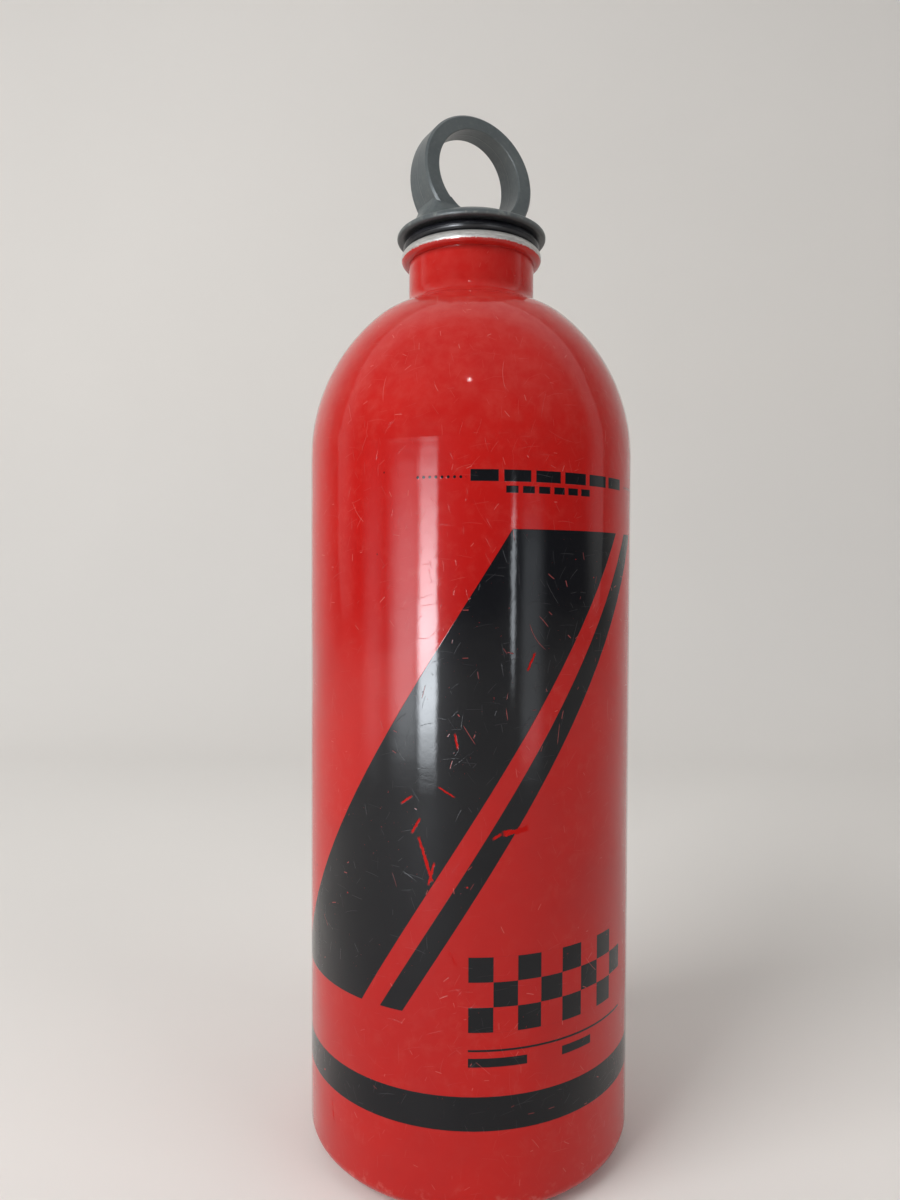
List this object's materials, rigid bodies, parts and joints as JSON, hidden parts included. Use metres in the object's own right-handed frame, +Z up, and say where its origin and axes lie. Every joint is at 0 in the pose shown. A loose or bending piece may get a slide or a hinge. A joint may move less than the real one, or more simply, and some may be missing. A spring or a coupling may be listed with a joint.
{
  "type": "camping fuel bottle",
  "caption": "Slim seamless aluminium fuel bottle with a domed shoulder, rolled lip, threaded neck, rubber seal and a screw cap with a finger ring.",
  "frame": {"origin": "centre of the standing face, at the middle of the base", "axes": "+Z up along the bottle's axis, towards the cap; the picture is taken from the -Y side; the finger ring's hole runs along a horizontal line turned 30 degrees about +Z from the Y axis"},
  "size_m": [0.074, 0.074, 0.2349],
  "materials": {
    "lacquered_aluminium": "gloss red lacquer with black print, scuffed",
    "bare_aluminium": "machined, bare",
    "seal_rubber": "smooth, slightly oily",
    "cap_plastic": "moulded, satin, worn"
  },
  "bodies": {
    "bottle": {"bottle_shell": "lacquered_aluminium", "thread_ring": "bare_aluminium"},
    "seal": {"o_ring": "seal_rubber"},
    "cap": {"cap": "cap_plastic"}
  },
  "joints": [
    {"name": "cap_rise", "type": "slide", "parent": "bottle", "child": "seal", "axis": [0, 0, 1], "range_m": [0, 0.0241]},
    {"name": "cap_turn", "type": "hinge", "parent": "seal", "child": "cap", "pos_m": [0, 0, 0.204], "axis": [0, 0, 1], "range_deg": [0, 2880]}
  ],
  "couplings": [
    {"joint": "cap_rise", "follows": "cap_turn", "m_per_rad": 0.00047746}
  ]
}
